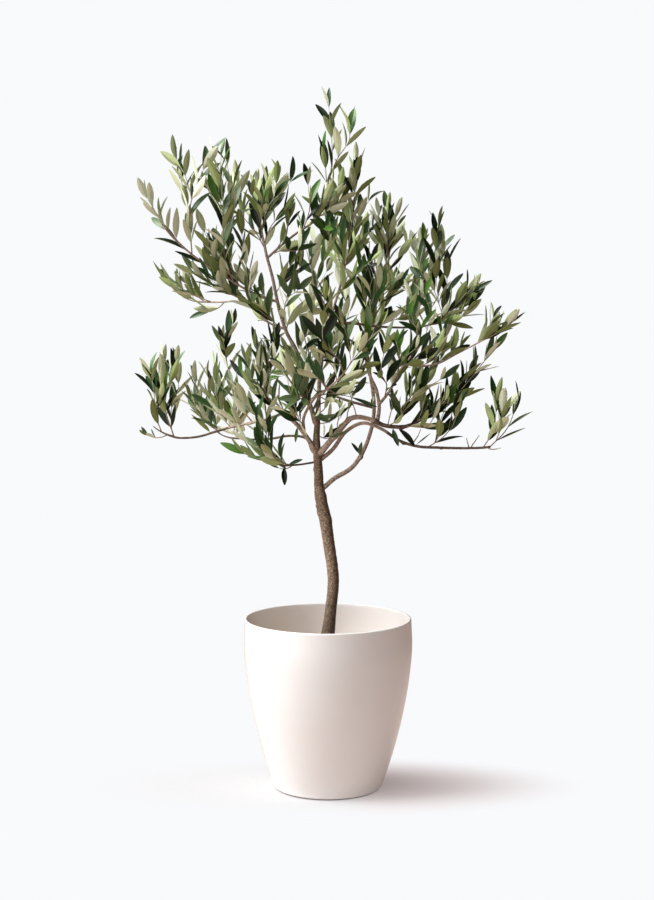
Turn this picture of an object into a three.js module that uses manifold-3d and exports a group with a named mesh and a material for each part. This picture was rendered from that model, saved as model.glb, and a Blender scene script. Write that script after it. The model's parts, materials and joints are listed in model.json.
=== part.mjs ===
// A potted olive tree: a slim leaning trunk in a tapered planter, its boughs and its masses of foliage.
// Millimetres, +Z up. The origin is the centre of the planter's flat underside, and the tree is seen
// from the front along +Y, with +X to the right.

import * as THREE from 'three';
import { mergeVertices } from 'three/addons/utils/BufferGeometryUtils.js';
import Module from 'manifold-3d';

const wasm = await Module();
wasm.setup();

// ---- driving dimensions ----

const GAP = 0.3; // kept between pieces that touch
const MERGE_DISTANCE = 1e-4; // points nearer than this are one point

const POT_HEIGHT = 299;
const POT_BELLY_RADIUS = 147.4; // the widest place, a little under the rim
const POT_BELLY_HEIGHT = 267;
const POT_DRAW_IN = 0.362; // share of the belly radius lost at the foot
const POT_DRAW_POWER = 1.79;
const POT_RIM_RADIUS = 145;
const POT_CORNER = 6; // rounding of the bottom edge
const POT_WALL = 3.5;
const POT_FLOOR = 4;
const POT_SEGMENTS = 32;
const POT_OUTSIDE_LEVELS = 6;
const POT_INSIDE_LEVELS = 4;

const SOIL_TOP = 225;
const SOIL_GAP = 0.8; // clear of the curved wall, whose facets stand a little inside it
const SOIL_LEVELS = 2;

const TRUNK_START = [-5, 0, 213]; // under the soil's surface, which cuts it flat
const TRUNK_STEPS = [
  [0, 0, 18],
  [5, 0, 39],
  [4, 0, 39],
  [5, 0, 58],
  [-7, 0, 58],
  [-9, 0, 58],
  [-7, 0, 30],
  [-3, 0, 52],
  [-2, 0, 25],
  [-1, 0, 21],
  [2, 2, 35],
  [2, 2, 34],
];
const TRUNK_THICK = [44, 34, 24, 19.5, 20, 20, 21, 18, 14.5, 14, 12, 9.5, 8];
const TRUNK_SIDES = 10;
const TRUNK_RINGS = 22;

const BOUGH_SIDES = 6;
const BOUGH_RING_EVERY = 36; // length of bough from ring to ring

const MASS_SIDES = 8;
const MASS_RINGS = 6;
const MASS_UNEVEN = 0.126; // depth of the hollows and bumps, as a share of the radius
const MASS_LOBES = 3; // broad bumps round a mass
const SIDE_LOBES = 2; // lesser bumps, which wind round it from foot to tip
const SIDE_LOBE_SHARE = 0.6;
const SIDE_LOBE_WIND = 5;
const MASS_SEED_STEP = 1.7; // turns the bumps of each mass away from those of the one before
const MASS_LEAD_IN = 12; // how far a mass starts before the place on the bough that bears it

// ---- boughs: each grows from a share of its parent's length, by steps of [right, back, up] ----

const BOUGHS = [
  {
    name: 'arch_bough', from: 'trunk', at: 0.79, thick: [10.5, 6],
    steps: [[20, -10, 25], [28, -5, 32], [22, 0, 16], [34, 5, -15], [36, -5, -6], [34, -10, 10]],
  },
  {
    name: 'low_right_bough', from: 'trunk', at: 0.77, thick: [7.5, 3.6],
    steps: [
      [28, 5, 24], [28, 0, 36], [22, 0, 7], [30, -4, -9],
      [44, -12, -26], [36, -12, -4], [82, -20, 0], [40, -5, 4],
    ],
  },
  {
    name: 'elbow_bough', from: 'trunk', at: 0.66, thick: [8.5, 6],
    steps: [[36, 8, 30], [26, 4, 15], [14, 4, 24], [15, 2, 42], [4, 2, 40], [-8, 2, 54]],
  },
  {
    name: 'twin_riser', from: 'arch_bough', at: 0.65, thick: [6.5, 5],
    steps: [[4, 4, 26], [-4, 4, 28], [-9, 0, 26]],
  },
  {
    name: 'upper_right_bough', from: 'elbow_bough', at: 0.98, thick: [6, 3.6],
    steps: [[-9, 12, 42], [0, 12, 34], [12, 14, 44], [24, 12, 52], [10, 6, 44]],
  },
  {
    name: 'right_inner_bough', from: 'twin_riser', at: 0.4, thick: [5, 3.2],
    steps: [[18, -12, 24], [14, -16, 32], [34, -26, 44]],
  },
  {
    name: 'right_riser_bough', from: 'right_inner_bough', at: 0.69, thick: [3.4, 2.4],
    steps: [[44, 8, -4], [36, 6, 16], [30, 6, 15], [30, 4, 15]],
  },
  {
    name: 'leader_bough', from: 'trunk', at: 0.99, thick: [7.5, 4],
    steps: [[4, 0, 70], [15, -2, 60], [3, -2, 13], [-26, -6, 50], [-10, -6, 44]],
  },
  {
    name: 'cross_bough', from: 'leader_bough', at: 0.56, thick: [5, 3.2],
    steps: [[34, 0, 0], [42, 4, -5], [50, 4, -3], [48, 2, 4]],
  },
  {
    name: 'peak_bough', from: 'leader_bough', at: 0.6, thick: [4.6, 3],
    steps: [[14, 14, 48], [13, 12, 50], [7, 8, 32]],
  },
  {
    name: 'upright_bough', from: 'trunk', at: 0.9, thick: [7.5, 3.8],
    steps: [
      [-18, -14, 60], [-16, -12, 70], [-16, -4, 30], [-14, -6, 42],
      [-10, -6, 50], [-11, -4, 42], [-6, -2, 30], [-10, -2, 34],
    ],
  },
  {
    name: 'crown_bough', from: 'upright_bough', at: 0.81, thick: [4.2, 2.8],
    steps: [[40, 14, 36], [36, 12, 25], [18, 8, 20], [6, 6, 34], [8, 6, 40]],
  },
  {
    name: 'upper_left_bough', from: 'upright_bough', at: 0.61, thick: [4.4, 2.2],
    steps: [[-32, -6, 10], [-46, -12, 26], [-70, -18, 48], [-40, -10, 40], [-25, -6, 30]],
  },
  {
    name: 'left_strand_bough', from: 'upright_bough', at: 0.48, thick: [4, 2.4],
    steps: [[-30, 12, 12], [-12, 8, 14], [-30, 15, 19], [-62, 22, 0], [-46, 16, 4]],
  },
  {
    name: 'fork_left_bough', from: 'trunk', at: 0.79, thick: [8.5, 5],
    steps: [[-24, -8, 44], [-20, -4, 20], [-18, -4, 16], [-24, -5, 12]],
  },
  {
    name: 'long_left_bough', from: 'fork_left_bough', at: 0.75, thick: [5, 3.4],
    steps: [[-36, 10, -14], [-34, 10, -7], [-40, 14, -11], [-36, 12, -12], [-35, 8, -4], [-34, 7, 7]],
  },
  {
    name: 'low_left_bough', from: 'trunk', at: 0.77, thick: [3.8, 2.6],
    steps: [[-46, -12, -5], [-48, -12, 0]],
  },
  {
    name: 'rear_left_bough', from: 'trunk', at: 0.83, thick: [5, 3],
    steps: [[-30, 26, 15], [-66, 42, -10], [-68, 42, 0]],
  },
  {
    name: 'front_bough', from: 'fork_left_bough', at: 0.38, thick: [5.4, 3.4],
    steps: [[0, -20, 25], [20, -32, 38], [26, -36, 20], [24, -36, 26]],
  },
  {
    name: 'rear_cross_bough', from: 'elbow_bough', at: 0.75, thick: [5, 3.4],
    steps: [[-36, 30, 8], [-36, 35, 12], [-30, 42, 40], [-18, 40, 46]],
  },
];

// ---- foliage: each mass grows on a share of its bough and reaches [right, back, up] to its tip ----

const MASSES = [
  { name: 'top_spire', on: 'crown_bough', at: 0.95, reach: [10, 4, 139], width: 78, depth: 72 },
  { name: 'peak_left', on: 'crown_bough', at: 0.5, reach: [10, -10, 112], width: 72, depth: 70 },
  { name: 'peak_right', on: 'peak_bough', at: 1, reach: [15, 10, 156], width: 76, depth: 76 },
  { name: 'upper_left_high', on: 'upper_left_bough', at: 0.35, reach: [-20, -26, 240], width: 78, depth: 80 },
  { name: 'upper_left_mid', on: 'upright_bough', at: 0.9, reach: [-45, 60, 136], width: 80, depth: 100 },
  { name: 'upper_left_inner', on: 'upright_bough', at: 0.95, reach: [40, -24, 124], width: 90, depth: 90 },
  { name: 'far_left_high', on: 'upper_left_bough', at: 0.5, reach: [-65, 20, 206], width: 62, depth: 66 },
  { name: 'far_left_tip', on: 'upper_left_bough', at: 0.8, reach: [-55, -10, 90], width: 52, depth: 56 },
  { name: 'left_mid', on: 'upper_left_bough', at: 0.1, reach: [-140, -10, 64], width: 90, depth: 96 },
  { name: 'left_strand_tip', on: 'left_strand_bough', at: 0.9, reach: [-55, 10, 60], width: 56, depth: 60 },
  { name: 'left_shoot', on: 'long_left_bough', at: 0.4, reach: [-20, -10, 225], width: 46, depth: 46 },
  { name: 'front_left', on: 'upright_bough', at: 0.4, reach: [0, -150, 130], width: 104, depth: 96 },
  { name: 'centre_top', on: 'leader_bough', at: 0.95, reach: [30, 25, 106], width: 90, depth: 90 },
  { name: 'centre_mid', on: 'leader_bough', at: 0.3, reach: [40, 34, 126], width: 100, depth: 90 },
  { name: 'front_low', on: 'front_bough', at: 0.55, reach: [-58, -110, 66], width: 110, depth: 90 },
  { name: 'front_mid', on: 'front_bough', at: 1, reach: [-15, -110, 150], width: 124, depth: 96 },
  { name: 'front_right', on: 'twin_riser', at: 1, reach: [52, -136, 80], width: 104, depth: 96 },
  { name: 'rear_mid', on: 'rear_cross_bough', at: 1, reach: [50, 92, 150], width: 130, depth: 100 },
  { name: 'rear_low', on: 'rear_cross_bough', at: 0.7, reach: [-105, 84, 12], width: 104, depth: 96 },
  { name: 'rear_right', on: 'upper_right_bough', at: 0.35, reach: [90, 156, 98], width: 110, depth: 96 },
  { name: 'right_centre_top', on: 'upper_right_bough', at: 0.95, reach: [-5, 4, 96], width: 76, depth: 90 },
  { name: 'right_centre', on: 'upper_right_bough', at: 0.45, reach: [5, -100, 124], width: 90, depth: 84 },
  { name: 'right_inner', on: 'right_inner_bough', at: 0.6, reach: [26, 104, 16], width: 92, depth: 84, },
  { name: 'rear_high', on: 'peak_bough', at: 0.75, reach: [-25, 140, 106], width: 110, depth: 94 },
  { name: 'front_high', on: 'crown_bough', at: 0.25, reach: [80, -120, 16], width: 92, depth: 96 },
  { name: 'right_upper', on: 'cross_bough', at: 1, reach: [16, 4, 188], width: 98, depth: 76 },
  { name: 'right_shoulder', on: 'cross_bough', at: 1, reach: [90, -6, 76], width: 72, depth: 80 },
  { name: 'right_front', on: 'right_inner_bough', at: 1, reach: [10, -110, 104], width: 90, depth: 88 },
  { name: 'right_high_spray', on: 'right_riser_bough', at: 1, reach: [60, 14, 54], width: 62, depth: 60 },
  { name: 'right_far_spray', on: 'arch_bough', at: 1, reach: [170, 36, 136], width: 44, depth: 44 },
  { name: 'right_low', on: 'arch_bough', at: 1, reach: [80, -12, 50], width: 86, depth: 90 },
  { name: 'right_tip_spray', on: 'low_right_bough', at: 1, reach: [26, 0, 116], width: 84, depth: 66 },
  { name: 'lower_left_tip', on: 'long_left_bough', at: 1, reach: [8, 0, 170], width: 86, depth: 84 },
  { name: 'lower_left_mid', on: 'long_left_bough', at: 0.55, reach: [-20, 10, 120], width: 100, depth: 96 },
  { name: 'left_inner', on: 'fork_left_bough', at: 0.95, reach: [-30, -30, 106], width: 100, depth: 96 },
  { name: 'low_left_hang', on: 'low_left_bough', at: 1, reach: [-5, -24, 104], width: 92, depth: 76 },
  { name: 'rear_left_low', on: 'rear_left_bough', at: 1, reach: [-20, 70, 110], width: 110, depth: 96 },
];

// Two masses start nearer to their bough's line, or further behind it, than the rest.
const OWN_LEAD_IN = { right_inner: 4, low_left_hang: 32 };

// ---- finishes ----

const potFinish = { color: 0xece7e2, roughness: 0.25, metalness: 0 };
const soilFinish = { color: 0x3b2d23, roughness: 0.95, metalness: 0 };
const barkFinish = { color: 0x7a6652, roughness: 0.85, metalness: 0 };
const leafFinish = { color: 0x5f6e48, roughness: 0.6, metalness: 0 };

// ---- solids and meshes ----

function toSolid(geometry) {
  geometry.deleteAttribute('normal');
  geometry.deleteAttribute('uv');
  const merged = mergeVertices(geometry, MERGE_DISTANCE);
  const mesh = new wasm.Mesh({
    numProp: 3,
    vertProperties: new Float32Array(merged.attributes.position.array),
    triVerts: new Uint32Array(merged.index.array),
  });
  return new wasm.Manifold(mesh);
}

function toMesh(name, solid, finish) {
  const { numProp, vertProperties, triVerts } = solid.getMesh();
  const geometry = new THREE.BufferGeometry();
  geometry.setAttribute('position', new THREE.BufferAttribute(new Float32Array(vertProperties), numProp));
  geometry.setIndex(new THREE.BufferAttribute(new Uint32Array(triVerts), 1));
  geometry.computeVertexNormals();
  const mesh = new THREE.Mesh(geometry, new THREE.MeshStandardMaterial(finish));
  mesh.name = name;
  return mesh;
}

function largestPiece(solid) {
  const pieces = solid.decompose();
  return pieces.reduce((best, piece) => (piece.volume() > best.volume() ? piece : best));
}

function cutBy(solid, cutters) {
  return largestPiece(cutters.reduce((rest, cutter) => rest.subtract(cutter), solid));
}

// ---- planter and soil ----

function potRadius(height) {
  if (height > POT_BELLY_HEIGHT) {
    const share = (height - POT_BELLY_HEIGHT) / (POT_HEIGHT - POT_BELLY_HEIGHT);
    return THREE.MathUtils.lerp(POT_BELLY_RADIUS, POT_RIM_RADIUS, share * share);
  }
  return POT_BELLY_RADIUS * (1 - POT_DRAW_IN * (1 - height / POT_BELLY_HEIGHT) ** POT_DRAW_POWER);
}

function wallPoints(bottom, top, count, inset) {
  const points = [];
  for (let i = 0; i <= count; i += 1) {
    const height = THREE.MathUtils.lerp(bottom, top, i / count);
    points.push(new THREE.Vector2(potRadius(height) - inset, height));
  }
  return points;
}

function turned(profile) {
  return toSolid(new THREE.LatheGeometry(profile, POT_SEGMENTS).rotateX(Math.PI / 2));
}

function potSolid() {
  const lipHeight = POT_HEIGHT - POT_WALL / 2;
  const eased = POT_CORNER * (1 - Math.SQRT1_2); // the middle of the rounded corner
  const underside = [new THREE.Vector2(0, 0), new THREE.Vector2(potRadius(0) - POT_CORNER, 0)];
  const corner = new THREE.Vector2(potRadius(0) - eased, eased);
  const outside = wallPoints(POT_CORNER, lipHeight, POT_OUTSIDE_LEVELS, 0);
  const lip = new THREE.Vector2(POT_RIM_RADIUS - POT_WALL / 2, POT_HEIGHT);
  const inside = wallPoints(POT_FLOOR, lipHeight, POT_INSIDE_LEVELS, POT_WALL).reverse();
  return turned([...underside, corner, ...outside, lip, ...inside, new THREE.Vector2(0, POT_FLOOR)]);
}

function soilSolid(grow) {
  const bottom = new THREE.Vector2(0, POT_FLOOR + GAP);
  const side = wallPoints(POT_FLOOR + GAP, SOIL_TOP + grow, SOIL_LEVELS, POT_WALL + SOIL_GAP);
  return turned([bottom, ...side, new THREE.Vector2(0, SOIL_TOP + grow)]);
}

// ---- limbs ----

function steppedCurve(start, steps) {
  const points = [start.clone()];
  for (const step of steps) {
    points.push(points.at(-1).clone().add(new THREE.Vector3(...step)));
  }
  return new THREE.CatmullRomCurve3(points);
}

function spread(values, share) {
  const place = share * (values.length - 1);
  const index = Math.min(Math.floor(place), values.length - 2);
  return THREE.MathUtils.lerp(values[index], values[index + 1], place - index);
}

// A cylinder bent onto the limb's curve, with the limb's thickness at each ring.
function limbSolid({ curve, thick, sides, rings }, grow = 0) {
  const geometry = new THREE.CylinderGeometry(1, 1, 1, sides, rings);
  const frames = curve.computeFrenetFrames(rings);
  const position = geometry.attributes.position;
  const point = new THREE.Vector3();
  for (let i = 0; i < position.count; i += 1) {
    const ring = Math.round((position.getY(i) + 0.5) * rings);
    const share = curve.getUtoTmapping(ring / rings);
    const radius = spread(thick, share) / 2 + grow;
    const pastEnd = ring === rings ? grow : 0;
    curve.getPoint(share, point);
    point.addScaledVector(frames.normals[ring], position.getX(i) * radius);
    point.addScaledVector(frames.binormals[ring], -position.getZ(i) * radius);
    point.addScaledVector(frames.tangents[ring], pastEnd);
    position.setXYZ(i, point.x, point.y, point.z);
  }
  return toSolid(geometry);
}

const limbs = new Map();
limbs.set('trunk', {
  curve: steppedCurve(new THREE.Vector3(...TRUNK_START), TRUNK_STEPS),
  thick: TRUNK_THICK,
  sides: TRUNK_SIDES,
  rings: TRUNK_RINGS,
});
for (const { name, from, at, thick, steps } of BOUGHS) {
  const curve = steppedCurve(limbs.get(from).curve.getPointAt(at), steps);
  const rings = Math.ceil(curve.getLength() / BOUGH_RING_EVERY);
  limbs.set(name, { curve, thick, from, sides: BOUGH_SIDES, rings });
}

// ---- foliage masses ----

// A mass is an uneven egg about its long axis; its bumps die away towards its foot and its tip.
function bumps(x, along, z, seed) {
  const turn = Math.atan2(z, x);
  const waist = 1 - along * along;
  const broad = Math.sin(MASS_LOBES * turn + seed);
  const side = Math.sin(SIDE_LOBES * turn + SIDE_LOBE_WIND * along + 2 * seed);
  return 1 + MASS_UNEVEN * waist * (broad + SIDE_LOBE_SHARE * side);
}

function massOf({ name, on, at, reach, width, depth }, index) {
  const lead = OWN_LEAD_IN[name] ?? MASS_LEAD_IN;
  const foot = limbs.get(on).curve.getPointAt(at);
  const axis = new THREE.Vector3(...reach);
  const half = (axis.length() + lead) / 2;
  const along = axis.clone().normalize();
  const centre = foot.clone().addScaledVector(along, axis.length() - half);
  const across = new THREE.Vector3(0, 1, 0).cross(along).normalize();
  const through = across.clone().cross(along);
  return { centre, along, across, through, half, width, depth, seed: MASS_SEED_STEP * index };
}

function massSolid(mass, grow = 0) {
  const geometry = new THREE.SphereGeometry(1, MASS_SIDES, MASS_RINGS);
  const position = geometry.attributes.position;
  const point = new THREE.Vector3();
  for (let i = 0; i < position.count; i += 1) {
    const [x, y, z] = [position.getX(i), position.getY(i), position.getZ(i)];
    const bump = bumps(x, y, z, mass.seed);
    point.copy(mass.centre);
    point.addScaledVector(mass.along, y * (mass.half + grow));
    point.addScaledVector(mass.across, x * (bump * mass.width / 2 + grow));
    point.addScaledVector(mass.through, z * (bump * mass.depth / 2 + grow));
    position.setXYZ(i, point.x, point.y, point.z);
  }
  return toSolid(geometry);
}

function massHolds(mass, point) {
  const out = point.clone().sub(mass.centre);
  const x = out.dot(mass.across) / (mass.width / 2);
  const y = out.dot(mass.along) / mass.half;
  const z = out.dot(mass.through) / (mass.depth / 2);
  const size = Math.hypot(x, y, z);
  return size < bumps(x, size > 0 ? y / size : 0, z, mass.seed);
}

const masses = new Map(MASSES.map((row, index) => [row.name, massOf(row, index)]));

// ---- assembly ----

const tree = new THREE.Group();
tree.add(toMesh('pot', potSolid(), potFinish));
tree.add(toMesh('soil', soilSolid(0), soilFinish));

// A bough ends where it enters the masses that hold its tip; the other masses are cut round it.
const endsIn = new Map();
for (const [name, limb] of limbs) {
  const tip = limb.curve.getPoint(1);
  endsIn.set(name, [...masses.keys()].filter((mass) => massHolds(masses.get(mass), tip)));
}

for (const [name, limb] of limbs) {
  const carrier = limb.from ? limbSolid(limbs.get(limb.from), GAP) : soilSolid(GAP);
  const ends = endsIn.get(name).map((mass) => massSolid(masses.get(mass), GAP));
  tree.add(toMesh(name, cutBy(limbSolid(limb), [carrier, ...ends]), barkFinish));
}

const madeMasses = [];
for (const [name, mass] of masses) {
  const passing = [...limbs.keys()].filter((limb) => !endsIn.get(limb).includes(name));
  const cutters = passing.map((limb) => limbSolid(limbs.get(limb), GAP));
  const earlier = madeMasses.map((made) => massSolid(made, GAP));
  tree.add(toMesh(name, cutBy(massSolid(mass), [...cutters, ...earlier]), leafFinish));
  madeMasses.push(mass);
}

export default tree;
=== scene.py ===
"""A potted olive tree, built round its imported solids.

Each limb is lofted along the centreline of its own solid, with bark relief. Each mass of foliage is
replaced by shoots and leaves that a seeded rule grows on from the limbs, inside the space of that mass.
Metres, +Z up. The front is seen along +Y, with +X to the right.
"""

import json
import math
import random

import bmesh
import bpy
import numpy as np
from mathutils import Matrix, Vector, noise
from mathutils.bvhtree import BVHTree
from mathutils.geometry import convex_hull_2d


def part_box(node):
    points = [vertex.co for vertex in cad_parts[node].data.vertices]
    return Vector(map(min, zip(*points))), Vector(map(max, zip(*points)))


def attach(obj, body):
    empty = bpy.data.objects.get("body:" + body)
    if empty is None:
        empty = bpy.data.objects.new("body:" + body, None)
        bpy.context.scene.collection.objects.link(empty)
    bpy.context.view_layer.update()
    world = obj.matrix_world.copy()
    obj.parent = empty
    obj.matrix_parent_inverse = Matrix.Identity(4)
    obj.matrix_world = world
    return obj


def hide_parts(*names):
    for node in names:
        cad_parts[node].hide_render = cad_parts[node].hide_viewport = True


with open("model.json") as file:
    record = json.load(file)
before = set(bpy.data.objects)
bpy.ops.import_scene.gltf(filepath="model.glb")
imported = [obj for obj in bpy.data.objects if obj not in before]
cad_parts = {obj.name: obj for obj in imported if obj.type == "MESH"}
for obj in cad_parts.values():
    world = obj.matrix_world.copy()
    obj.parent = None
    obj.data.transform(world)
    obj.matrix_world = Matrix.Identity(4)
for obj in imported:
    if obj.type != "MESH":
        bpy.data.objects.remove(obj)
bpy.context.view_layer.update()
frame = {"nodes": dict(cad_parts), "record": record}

SEED = 7
UP = Vector((0, 0, 1))
FRONT = Vector((0, -1, 0))

# ---- camera, light and floor ----

CAMERA_PLACE = (-0.0018, -3.0, 0.8654)
CAMERA_TILT = math.radians(5.19)  # below the horizon
CAMERA_LENS = 69.65

KEY_PLACE = (-5.3, -1.1, 6.9)
KEY_TARGET = (0, 0, 0.3)
KEY_SIZE = (3.6, 5.0)
KEY_WATTS = 930
KEY_COLOUR = (1.0, 0.99, 0.975)

ROOM_WINDOW = (-0.6, -0.3, 0.74)  # the way to the brightest part of the room
ROOM_FADE = 0.33  # cosine from there at which its light ends
ROOM_BRIGHT, ROOM_BRIGHT_COLOUR = 1.75, (1.0, 0.99, 0.98)
ROOM_DIM, ROOM_DIM_COLOUR = 0.05, (1.0, 0.64, 0.53)
BACKDROP = (0.947, 0.955, 0.973)

FLOOR_RADIUS, FLOOR_SIDES = 40.0, 64
FLOOR_COLOUR = (0.518, 0.512, 0.516)
FLOOR_OVAL = (0.85, 2.0, 1)  # how fast the two radii below are run through along X and along Y
FLOOR_LIT_RADIUS = 0.09  # shadows fade out from here
FLOOR_CLEAR_RADIUS = 0.40  # past here the floor has the backdrop's own brightness
FLOOR_BASE_GLOW = 0.31  # share of that brightness which the floor has everywhere
FLOOR_CREVICE = 0.006  # width of the ring round the planter's foot where the floor doesn't glow: painted contact shade, darkening the real shade there
FLOOR_WARM = (0.98, 0.76, 0.73)  # colour of that share beside the planter, on its shaded side: a painted warm tint of its shadow
FLOOR_WARM_FROM = 0.12  # how far to the right it is reached
FLOOR_GLOW = (0.84, 0.665, 0.59)  # what the floor beyond the shadow gives back to the plant and its pot
FLOOR_FAR_GLOW = (0.42, 0.315, 0.27)  # the same, farther off
FLOOR_GLOW_REACH = (0.4, 1.4)  # distances between which the one turns into the other

# ---- materials ----

BLACK, WHITE = (0.0, 0.0, 0.0), (1.0, 1.0, 1.0)
BARK_STRETCH = (1, 1, 0.8)
PAINTED_SHADE_SIDE = 0.65  # how far a face looks east where the painted shade on its bark is darkest
PAINTED_SHADE_FOOT = (0.03, 0.155)  # heights over the compost of the painted shade at the foot: up to the first bark is dark, past the second clear


def feed(node, inputs):
    """Links inputs of a node to what comes out of others, or gives them a plain value."""
    for name, source in inputs.items():
        if isinstance(source, bpy.types.NodeSocket):
            node.id_data.links.new(source, node.inputs[name])
        else:
            node.inputs[name].default_value = source


def new_material(name):
    material = bpy.data.materials.new(name)
    material.use_nodes = True
    nodes = material.node_tree.nodes
    nodes.clear()
    shader = nodes.new("ShaderNodeBsdfPrincipled")
    feed(nodes.new("ShaderNodeOutputMaterial"), {"Surface": shader.outputs["BSDF"]})
    return material, shader


class Weave:
    """Short calls for the nodes that a procedural material or a world is made of."""

    def __init__(self, owner):
        self.nodes = owner.node_tree.nodes
        found = self.node("TexCoord").outputs
        self.place, self.facing, self.way = found["Object"], found["Normal"], found["Generated"]

    def node(self, kind, inputs=(), **settings):
        made = self.nodes.new("ShaderNode" + kind)
        for name, value in settings.items():
            setattr(made, name, value)
        feed(made, dict(inputs))
        return made

    def stretched(self, scale):
        return self.node("Mapping", {"Vector": self.place, "Scale": scale}).outputs["Vector"]

    def part(self, vector, axis):
        return self.node("SeparateXYZ", {"Vector": vector}).outputs[axis]

    def length(self, vector):
        return self.node("VectorMath", {0: vector}, operation="LENGTH").outputs["Value"]

    def noise(self, place, scale, detail, roughness=0.55):
        inputs = {"Vector": place, "Scale": scale, "Detail": detail, "Roughness": roughness}
        return self.node("TexNoise", inputs).outputs["Fac"]

    def ramp(self, factor, stops):
        made = self.node("ValToRGB", {"Fac": factor})
        elements = made.color_ramp.elements
        while len(elements) < len(stops):
            elements.new(0.5)
        for element, (place, colour) in zip(elements, stops):
            element.position = place
            element.color = (*colour, 1)
        return made.outputs["Color"]

    def mixed(self, factor, first, second, blend="MIX"):
        inputs = {0: factor, 6: first, 7: second}
        return self.node("Mix", inputs, data_type="RGBA", blend_type=blend).outputs[2]

    def spanned(self, factor, low, high):
        inputs = {"Value": factor, "To Min": low, "To Max": high}
        return self.node("MapRange", inputs).outputs["Result"]

    def eased(self, value, start, end, low=0.0, high=1.0):
        inputs = {"Value": value, "From Min": start, "From Max": end, "To Min": low, "To Max": high}
        return self.node("MapRange", inputs, interpolation_type="SMOOTHSTEP").outputs["Result"]

    def bump(self, height, strength, distance):
        inputs = {"Height": height, "Strength": strength, "Distance": distance}
        return self.node("Bump", inputs).outputs["Normal"]


def planter_material():
    material, shader = new_material("planter")
    weave = Weave(material)
    cloud = weave.noise(weave.place, 9.0, 3.0)
    fine = weave.noise(weave.place, 160.0, 2.0)
    ripple = weave.noise(weave.stretched((1, 1, 0.25)), 22.0, 2.0)
    looks = {
        "Base Color": weave.ramp(cloud, [(0.3, (0.86, 0.86, 0.86)), (0.7, (0.88, 0.885, 0.89))]),
        "Roughness": weave.spanned(fine, 0.20, 0.27),
        "Normal": weave.bump(ripple, 0.05, 0.001),
        "Coat Weight": 0.35,
        "Coat Roughness": 0.08,
        "Subsurface Weight": 0.12,
        "Subsurface Scale": 0.004,
        "Subsurface Radius": (1.0, 0.6, 0.4),
    }
    feed(shader, looks)
    return material


def bark_material(name, dark, middle, light):
    material, shader = new_material(name)
    weave = Weave(material)
    grain = weave.noise(weave.stretched(BARK_STRETCH), 430.0, 5.0, 0.65)
    patches = weave.noise(weave.place, 60.0, 4.0, 0.6)
    flecks = weave.noise(weave.stretched(BARK_STRETCH), 520.0, 3.0, 0.6)
    colour = weave.ramp(grain, [(0.35, dark), (0.5, middle), (0.65, light)])
    worn = weave.ramp(patches, [(0.38, (0.78, 0.76, 0.73)), (0.62, WHITE)])
    colour = weave.mixed(1.0, colour, worn, "MULTIPLY")
    bright = weave.ramp(flecks, [(0.55, BLACK), (0.63, WHITE)])
    colour = weave.mixed(weave.spanned(bright, 0.0, 0.6), colour, (*light, 1))
    # painted shade: the bark is darker on the side turned from the light, and at its foot near the
    # compost, where the planter shades it
    dark_foot, clear_foot = (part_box("soil")[1].z + height for height in PAINTED_SHADE_FOOT)
    side = weave.ramp(weave.part(weave.facing, "X"), [(0.0, WHITE), (PAINTED_SHADE_SIDE, (0.36, 0.33, 0.30))])
    foot_shade_stops = [(dark_foot, (0.28, 0.26, 0.24)), (clear_foot, WHITE)]
    foot = weave.ramp(weave.part(weave.place, "Z"), foot_shade_stops)
    for painted_shade in (side, foot):
        colour = weave.mixed(1.0, colour, painted_shade, "MULTIPLY")
    looks = {
        "Base Color": colour,
        "Roughness": weave.spanned(grain, 0.72, 0.92),
        "Normal": weave.bump(grain, 0.5, 0.0006),
    }
    feed(shader, looks)
    return material


def compost_material():
    material, shader = new_material("compost")
    weave = Weave(material)
    crumbs = weave.noise(weave.place, 210.0, 6.0, 0.7)
    stops = [(0.3, (0.16, 0.10, 0.065)), (0.5, (0.46, 0.31, 0.21)), (0.7, (0.70, 0.53, 0.40))]
    looks = {
        "Base Color": weave.ramp(crumbs, stops),
        "Roughness": 0.95,
        "Normal": weave.bump(crumbs, 0.6, 0.002),
    }
    feed(shader, looks)
    return material


def plain_material(name, colour, roughness, specular, coat=0.0):
    """One base colour, for leaves and shoots, whose colours are dealt out by spray."""
    material, shader = new_material(name)
    looks = {
        "Base Color": (*colour, 1),
        "Roughness": roughness,
        "Specular IOR Level": specular,
        "Coat Weight": coat,
        "Coat Roughness": 0.3,
    }
    feed(shader, looks)
    return material


# ---- meshes ----


def make_piece(name, points, faces, materials, slot, face_materials=None, crease=None):
    mesh = bpy.data.meshes.new(name)
    mesh.from_pydata(points, [], faces)
    for material in materials:
        mesh.materials.append(material)
    if face_materials is not None:
        mesh.polygons.foreach_set("material_index", np.asarray(face_materials, np.int32))
    mesh.polygons.foreach_set("use_smooth", np.ones(len(mesh.polygons), bool))
    if crease is not None:
        mesh.set_sharp_from_angle(angle=crease)
    mesh.validate()
    mesh.update()
    piece = bpy.data.objects.new(name, mesh)
    bpy.context.scene.collection.objects.link(piece)
    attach(piece, "root")
    return piece


class Heap:
    """Points and faces of many small things, gathered for one piece."""

    def __init__(self):
        self.points, self.faces, self.count = [], [], 0

    def add(self, points, faces):
        self.points.append(np.asarray(points, float))
        self.faces.extend(tuple(i + self.count for i in face) for face in faces)
        self.count += len(points)

    def piece(self, name, material, slot):
        return make_piece(name, np.vstack(self.points), self.faces, [material], slot)


# ---- curves ----

CURVE_STEPS = 12  # straight bits between two neighbouring points of a curve
TIP_DOME = 0.7  # height of a tube's tip as a share of its radius


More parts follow.
